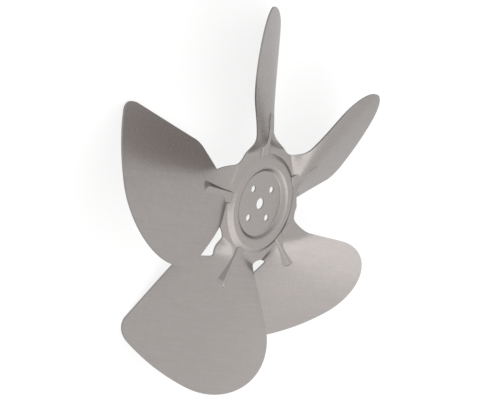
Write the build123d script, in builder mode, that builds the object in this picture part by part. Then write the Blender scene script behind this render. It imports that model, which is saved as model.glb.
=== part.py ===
from build123d import *
import os
from math import cos, radians, sin, tan

# A fan impeller pressed from one aluminium sheet: a dished hub with a raised ring, and five pitched,
# cambered blades that run out of its flange. Millimetres. +Z is the fan's axis, towards its front, and the
# origin is the centre of the mounting disc's front face.

# The sheet and the fan as a whole
sheet = 1.0
fan_diameter = 234.0
blade_count = 5

# The mounting disc, its bore and its screw holes
bore_diameter = 7.0
screw_circle = 25.0
screw_hole = 4.2
screw_count = 4

# The pressed hub: a disc, a raised ring round it and a flange that carries the blades. Each run is a width
# along the radius.
disc_radius = 20.3
ring_rise_run = 2.7
ring_width = 4.8
ring_fall_run = 3.2
ring_height = 2.9
flange_height = 1.3
press_radius = 1.2
ring_round = 2.5

# The blade's outline seen along the axis. Its corners are given as steps out from the ring's foot or in from
# the fan's circle, and as angles from the blade's own radial line. The gullet is the gap between two blades.
gullet_step = 0.9
gullet_angle = 17.5
notch_step = 13.3
notch_angle = -15.4
shoulder_step = 26.0
shoulder_angle = -25.5
tip_step = 6.2
tip_cw_angle = -18.4
tip_angle = 5.0
tip_ccw_angle = 32.0
gullet_fillet = 11.0
notch_fillet = 1.6
shoulder_fillet = 8.5
tip_cw_fillet = 11.0
tip_ccw_fillet = 33.0

# The blade's surface: its pitch and how far its middle stands in front of the flange, both at the root and at
# the tip, how far its middle bows out from its sides, and the length of the bend from the flange to the pitch
root_pitch = 32.0
tip_pitch = 32.7
root_lift = 2.6
tip_lift = -1.0
camber_bow = 7.5
bend_length = 13.5

# The hollow bead pressed along each blade's root. Its top starts a little above the flange and climbs outwards.
rib_length = 24.0
rib_width = 6.0
rib_offset = 1.3
rib_rise = 0.9
rib_slope = 4.0
rib_draft = 35.0
rib_edge = 0.6

# Worked out from the sizes above
fan_radius = fan_diameter / 2
blade_angle = 360 / blade_count
section_angle = blade_angle / 2 - 1
ring_inner_radius = disc_radius + ring_rise_run
ring_outer_radius = ring_inner_radius + ring_width
ring_foot_radius = ring_outer_radius + ring_fall_run
gullet_radius = ring_foot_radius + gullet_step
notch_radius = ring_foot_radius + notch_step
shoulder_radius = ring_foot_radius + shoulder_step
tip_cw_radius = fan_radius - tip_step
flange_middle = flange_height - sheet / 2
root_plane = ring_foot_radius + sheet / 2
rib_plane = Plane((root_plane, 0, flange_height + rib_rise)).rotated((0, -rib_slope, 0))
rib_nose = rib_length - rib_width / 2
rib_start = -ring_fall_run / 2
rib_wall = sheet / cos(radians(rib_draft)) - sheet * tan(radians(rib_draft))
hollow_start = -ring_fall_run - ring_width / 2
clear_height = fan_radius

def polar(radius, angle):
    """The point at a radius and an angle in degrees."""
    return (radius * cos(radians(angle)), radius * sin(radians(angle)))

def corners_at(vertices, radius, angle):
    """The corners of an outline that lie at this radius and at this angle from any blade's radial line."""
    spots = [Vector(*polar(radius, angle + blade_angle * i)) for i in range(blade_count)]
    return [v for v in vertices if min((Vector(v) - spot).length for spot in spots) < sheet / 2]

def blade_row(x, share):
    """Three control points across a blade at x. A share of 0 stays at the flange, and 1 is the full pitch."""
    half = x * tan(radians(section_angle))
    along = (x - root_plane) / (fan_radius - root_plane)
    rise = half * tan(radians(root_pitch + (tip_pitch - root_pitch) * along))
    middle = root_lift + (tip_lift - root_lift) * along
    sides = (-half, 0, half)
    lifts = (middle - camber_bow - rise, middle + camber_bow, middle - camber_bow + rise)
    return [(x, y, flange_height + share * lift) for y, lift in zip(sides, lifts)]

def blade_front():
    """The front face of a blade along +X, wider than its outline: flat at the flange, then at its pitch."""
    bend_end = root_plane + bend_length
    blank_end = fan_radius + 3 * sheet
    in_bend = [root_plane + bend_length * i / 4 for i in range(5)]
    on_blade = [bend_end + (blank_end - bend_end) * i / 3 for i in range(1, 4)]
    shares = (0, 0, 0.5, 1, 1, 1, 1, 1)
    return Face.make_bezier_surface([blade_row(x, s) for x, s in zip(in_bend + on_blade, shares)])

# A blade blank: a curved strip of sheet from the hub to past the tip
with BuildPart() as blade:
    thicken(blade_front(), amount=sheet, normal_override=(0, 0, -1))

# The space in front of the middle of the sheet, over the flange and over one blade
with BuildPart() as front_space:
    extrude(Pos(0, 0, -sheet / 2) * blade_front(), amount=clear_height, dir=(0, 0, 1))
    with BuildSketch(Plane.XY.offset(flange_middle)):
        with Locations((root_plane, 0)):
            Rectangle(-hollow_start, 4 * rib_width, align=(Align.MAX, Align.CENTER))
    extrude(amount=clear_height)

# A bead's outside, from the ring's wall to its round nose, down to the middle of the sheet
with BuildPart() as rib:
    with BuildSketch(rib_plane):
        with Locations((rib_start, rib_offset)):
            Rectangle(rib_nose - rib_start, rib_width, align=(Align.MIN, Align.CENTER))
        with Locations((rib_nose, rib_offset)):
            Circle(rib_width / 2)
    extrude(amount=-rib_length, taper=-rib_draft)
    fillet(rib.faces().sort_by(Axis((0, 0, 0), rib_plane.z_dir))[-1].edges(), rib_edge)
    add(front_space.part, mode=Mode.INTERSECT)

# A bead's hollow back, one sheet inside it, which opens into the hollow of the ring
with BuildPart() as rib_hollow:
    with BuildSketch(rib_plane.offset(-sheet)):
        with Locations((hollow_start, rib_offset)):
            Rectangle(rib_nose - hollow_start, rib_width - 2 * rib_wall, align=(Align.MIN, Align.CENTER))
        with Locations((rib_nose, rib_offset)):
            Circle(rib_width / 2 - rib_wall)
    extrude(amount=-rib_length, taper=-rib_draft)

# The outline of the whole sheet seen along the axis: five blades that meet on the axis, with round corners
with BuildSketch(Plane.XY.offset(-clear_height)) as outline:
    with BuildLine(mode=Mode.PRIVATE) as blade_edge:
        Polyline(
            polar(fan_radius, tip_ccw_angle),
            polar(gullet_radius, gullet_angle),
            (0, 0),
            polar(gullet_radius, gullet_angle - blade_angle),
            polar(notch_radius, notch_angle),
            polar(shoulder_radius, shoulder_angle),
            polar(tip_cw_radius, tip_cw_angle),
        )
        ThreePointArc(
            polar(tip_cw_radius, tip_cw_angle),
            polar(fan_radius, tip_angle),
            polar(fan_radius, tip_ccw_angle),
        )
    with PolarLocations(0, blade_count):
        add(make_face(blade_edge.line, mode=Mode.PRIVATE))
    fillet(corners_at(outline.vertices(), gullet_radius, gullet_angle), gullet_fillet)
    fillet(corners_at(outline.vertices(), notch_radius, notch_angle), notch_fillet)
    fillet(corners_at(outline.vertices(), shoulder_radius, shoulder_angle), shoulder_fillet)
    fillet(corners_at(outline.vertices(), tip_cw_radius, tip_cw_angle), tip_cw_fillet)
    fillet(corners_at(outline.vertices(), fan_radius, tip_ccw_angle), tip_ccw_fillet)

with BuildPart() as impeller:
    # The hub is turned from a strip of sheet that follows its pressed steps, and ends in a flat for each blade
    with BuildSketch(Plane.XZ):
        with BuildLine():
            FilletPolyline(
                (0, -sheet / 2),
                (disc_radius, -sheet / 2),
                (ring_inner_radius, ring_height - sheet / 2),
                (ring_outer_radius, ring_height - sheet / 2),
                (ring_foot_radius, flange_middle),
                (2 * ring_foot_radius, flange_middle),
                radius=(press_radius, ring_round, ring_round, press_radius),
            )
        trace(line_width=sheet)
    revolve(axis=Axis.Z)
    with BuildSketch(Plane.XY.offset(-clear_height)):
        RegularPolygon(root_plane, blade_count, major_radius=False, rotation=blade_angle / 2)
    extrude(amount=2 * clear_height, mode=Mode.INTERSECT)

    # The blades run out of the flats, and one outline trims them and the flange
    with PolarLocations(0, blade_count):
        add(blade.part)
    extrude(outline.sketch, amount=2 * clear_height, mode=Mode.INTERSECT)

    # The beads stiffen the bends
    with PolarLocations(0, blade_count):
        add(rib.part)
    with PolarLocations(0, blade_count):
        add(rib_hollow.part, mode=Mode.SUBTRACT)

    # The bore on the axis and the screw holes round it
    Hole(bore_diameter / 2)
    with PolarLocations(screw_circle / 2, screw_count):
        Hole(screw_hole / 2)

impeller.part.label = "impeller"
os.makedirs("parts", exist_ok=True)
export_step(impeller.part, "parts/impeller.step")
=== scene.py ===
import bpy
from math import radians
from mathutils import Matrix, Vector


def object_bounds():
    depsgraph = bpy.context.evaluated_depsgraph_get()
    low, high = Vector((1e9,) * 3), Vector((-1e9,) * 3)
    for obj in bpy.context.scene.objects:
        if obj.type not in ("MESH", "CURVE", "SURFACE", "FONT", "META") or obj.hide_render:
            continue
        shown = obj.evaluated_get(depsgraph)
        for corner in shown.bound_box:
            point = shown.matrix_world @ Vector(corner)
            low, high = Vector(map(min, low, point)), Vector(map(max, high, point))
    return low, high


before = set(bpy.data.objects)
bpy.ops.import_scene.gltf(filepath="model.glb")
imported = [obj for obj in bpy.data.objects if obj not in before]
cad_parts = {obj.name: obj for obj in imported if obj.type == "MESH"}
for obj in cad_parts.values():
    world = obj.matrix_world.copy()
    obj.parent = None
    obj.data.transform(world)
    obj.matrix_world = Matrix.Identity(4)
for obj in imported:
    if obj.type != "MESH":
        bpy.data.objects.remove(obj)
cad_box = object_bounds()

# The impeller: one sheet of aluminium, blanked and pressed in a single tool, so the hub, its ring, the beads and
# the five blades are one piece. It keeps the satin finish of the rolled sheet, and all round its outline and in
# its holes the bare sheared edge shows.
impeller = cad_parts["impeller"]
satin = bpy.data.materials.new("satin_aluminium_sheet")
satin.use_nodes = True
sheet = satin.node_tree
metal = sheet.nodes["Principled BSDF"]
metal.inputs["Metallic"].default_value = 1.0
metal.inputs["Specular Tint"].default_value = (0.65, 0.65, 0.65, 1)
place = sheet.nodes.new("ShaderNodeTexCoord")
noise_low = 0.3
noise_high = 0.7


def noise(tree, place_on_sheet, scale, detail, roughness):
    cloud = tree.nodes.new("ShaderNodeTexNoise")
    cloud.inputs["Scale"].default_value = scale
    cloud.inputs["Detail"].default_value = detail
    cloud.inputs["Roughness"].default_value = roughness
    tree.links.new(place_on_sheet, cloud.inputs["Vector"])
    return cloud.outputs["Fac"]


def carry(tree, value, low, high, to_low, to_high):
    span = tree.nodes.new("ShaderNodeMapRange")
    span.inputs["From Min"].default_value = low
    span.inputs["From Max"].default_value = high
    span.inputs["To Min"].default_value = to_low
    span.inputs["To Max"].default_value = to_high
    tree.links.new(value, span.inputs["Value"])
    return span.outputs["Result"]


# The rolled faces: bare aluminium, neither polished nor painted. It has a cloudy mottle a few millimetres across,
# in its colour and in its gloss.
mottle = noise(sheet, place.outputs["Object"], 260.0, 4.0, 0.65)
tint = sheet.nodes.new("ShaderNodeValToRGB")
tint.color_ramp.elements[0].position = noise_low
tint.color_ramp.elements[0].color = (0.432, 0.405, 0.395, 1)
tint.color_ramp.elements[1].position = noise_high
tint.color_ramp.elements[1].color = (0.452, 0.424, 0.414, 1)
sheet.links.new(mottle, tint.inputs["Fac"])
face_roughness = carry(sheet, mottle, noise_low, noise_high, 0.3, 0.26)


def shaded(tree, colour, factor):
    shade = tree.nodes.new("ShaderNodeVectorMath")
    shade.operation = "SCALE"
    tree.links.new(colour, shade.inputs["Vector"])
    tree.links.new(factor, shade.inputs["Scale"])
    return shade.outputs["Vector"]


# The rolling grain: faint streaks one way across the whole sheet, left by the mill's rolls before it was blanked.
# They show as slightly lighter and darker lines, on every blade in the same direction.
grain_angle = radians(40)
grain_length = 0.02
grain_width = 0.0009
along_sheet = sheet.nodes.new("ShaderNodeMapping")
along_sheet.vector_type = "TEXTURE"
along_sheet.inputs["Rotation"].default_value = (0, 0, grain_angle)
along_sheet.inputs["Scale"].default_value = (grain_length, grain_width, grain_length)
sheet.links.new(place.outputs["Object"], along_sheet.inputs["Vector"])
grain = noise(sheet, along_sheet.outputs["Vector"], 1.0, 2.0, 0.5)
streaks = carry(sheet, grain, noise_low, noise_high, 0.975, 1.025)
face_colour = shaded(sheet, tint.outputs["Color"], streaks)


def larger(tree, first, second):
    choice = tree.nodes.new("ShaderNodeMath")
    choice.operation = "MAXIMUM"
    tree.links.new(first, choice.inputs[0])
    tree.links.new(second, choice.inputs[1])
    return choice.outputs["Value"]


# The sheared edges: the punch goes straight through the sheet, so they stand upright. They are duller than the
# faces. Their colour is also darkened, which is painted shade for the dark line that shade lays along the sheet's
# edges.
edge_lean = 0.15
face_lean = 0.35
facing = sheet.nodes.new("ShaderNodeSeparateXYZ")
sheet.links.new(place.outputs["Normal"], facing.inputs["Vector"])
lean = sheet.nodes.new("ShaderNodeMath")
lean.operation = "ABSOLUTE"
sheet.links.new(facing.outputs["Z"], lean.inputs[0])
# Painted shade: the colour of the upright edges is scaled down to 0.77 of the faces' colour, standing in for the
# shade along the edges.
edge_painted_shade = carry(sheet, lean.outputs["Value"], edge_lean, face_lean, 0.77, 1.0)
sheet.links.new(shaded(sheet, face_colour, edge_painted_shade), metal.inputs["Base Color"])
edge_roughness = carry(sheet, lean.outputs["Value"], edge_lean, face_lean, 0.5, 0.0)
sheet.links.new(larger(sheet, face_roughness, edge_roughness), metal.inputs["Roughness"])


def bump(tree, height, depth, strength):
    relief = tree.nodes.new("ShaderNodeBump")
    relief.inputs["Strength"].default_value = strength
    relief.inputs["Distance"].default_value = depth
    tree.links.new(height, relief.inputs["Height"])
    return relief


# The relief: pressing leaves thin metal faintly uneven, which bends the reflections on the blades a little. The
# lines of the rolls can just be felt.
waves = bump(sheet, noise(sheet, place.outputs["Object"], 35.0, 1.0, 0.5), 0.0003, 1.0)
lines = bump(sheet, grain, 0.00002, 0.15)
sheet.links.new(waves.outputs["Normal"], lines.inputs["Normal"])
sheet.links.new(lines.outputs["Normal"], metal.inputs["Normal"])
impeller.data.materials.clear()
impeller.data.materials.append(satin)

# The floor: a plain white sheet that the impeller lies on, on the low corners of its blades' tips. It is lit by
# the lamp and the walls and keeps the shadow, and light of its own brings it up to white.
floor_width = 40.0
floor_colour = (0.28, 0.28, 0.28, 1)
floor_glow = 0.8
lowest, highest = cad_box
bpy.ops.mesh.primitive_plane_add(size=floor_width, location=(0, 0, lowest.z))
floor = bpy.context.object
floor.name = "floor"
white = bpy.data.materials.new("white_paper")
white.use_nodes = True
paper = white.node_tree
matt = paper.nodes["Principled BSDF"]
matt.inputs["Base Color"].default_value = floor_colour
matt.inputs["Roughness"].default_value = 1.0
matt.inputs["Specular IOR Level"].default_value = 0.0
ray = paper.nodes.new("ShaderNodeLightPath")
seen = larger(paper, ray.outputs["Is Camera Ray"], ray.outputs["Is Glossy Ray"])
seen = larger(paper, seen, ray.outputs["Is Transmission Ray"])
glow = paper.nodes.new("ShaderNodeEmission")
paper.links.new(carry(paper, seen, 0.0, 1.0, 0.0, floor_glow), glow.inputs["Strength"])
both = paper.nodes.new("ShaderNodeAddShader")
paper.links.new(matt.outputs["BSDF"], both.inputs[0])
paper.links.new(glow.outputs["Emission"], both.inputs[1])
paper.links.new(both.outputs["Shader"], paper.nodes["Material Output"].inputs["Surface"])
floor.data.materials.append(white)

# The light: a studio with pale walls, brightest high on the fan's +X side and dim on the opposite side, where they
# are faintly green. One wide soft lamp hangs high on the bright side.
bright_side = (0.612, -0.354, 0.707)
dim_wall = (0.38, 0.398, 0.388, 1)
pale_wall = (0.84, 0.83, 0.82, 1)
bright_wall = (0.95, 0.94, 0.93, 1)
world = bpy.data.worlds.new("studio")
world.use_nodes = True
studio = world.node_tree
way = studio.nodes.new("ShaderNodeTexCoord")
towards = studio.nodes.new("ShaderNodeVectorMath")
towards.operation = "DOT_PRODUCT"
towards.inputs[1].default_value = bright_side
studio.links.new(way.outputs["Generated"], towards.inputs[0])
walls = studio.nodes.new("ShaderNodeValToRGB")
walls.color_ramp.elements[0].position = 0.36
walls.color_ramp.elements[0].color = dim_wall
walls.color_ramp.elements[1].position = 0.51
walls.color_ramp.elements[1].color = pale_wall
walls.color_ramp.elements.new(0.82).color = pale_wall
walls.color_ramp.elements.new(0.97).color = bright_wall
studio.links.new(carry(studio, towards.outputs["Value"], -1.0, 1.0, 0.0, 1.0), walls.inputs["Fac"])
studio.links.new(walls.outputs["Color"], studio.nodes["Background"].inputs["Color"])
studio.nodes["Background"].inputs["Strength"].default_value = 1.0
bpy.context.scene.world = world
lamp = bpy.data.lights.new("soft_lamp", "AREA")
lamp.shape = "SQUARE"
lamp.size = 1.2
lamp.energy = 2.1
lamp_object = bpy.data.objects.new("soft_lamp", lamp)
lamp_object.location = (0.75, -0.20, 1.27)
lamp_object.rotation_euler = (radians(31.4), 0, radians(75))
bpy.context.scene.collection.objects.link(lamp_object)

# The camera: it stands nearly half a metre away and looks down on the hub from 38 degrees above the floor. It is
# turned on its side, so that the fan's axis points to the right in the picture.
camera = bpy.data.cameras.new("camera")
camera.sensor_width = 36.0
camera.lens = 56.716
camera.clip_start = 0.01
camera_object = bpy.data.objects.new("camera", camera)
camera_object.location = (-0.30897, -0.22391, 0.28889)
camera_object.rotation_euler = (radians(-19.427), radians(-49.334), radians(60.932))
bpy.context.scene.collection.objects.link(camera_object)
bpy.context.scene.camera = camera_object
bpy.context.scene.view_settings.view_transform = "Standard"
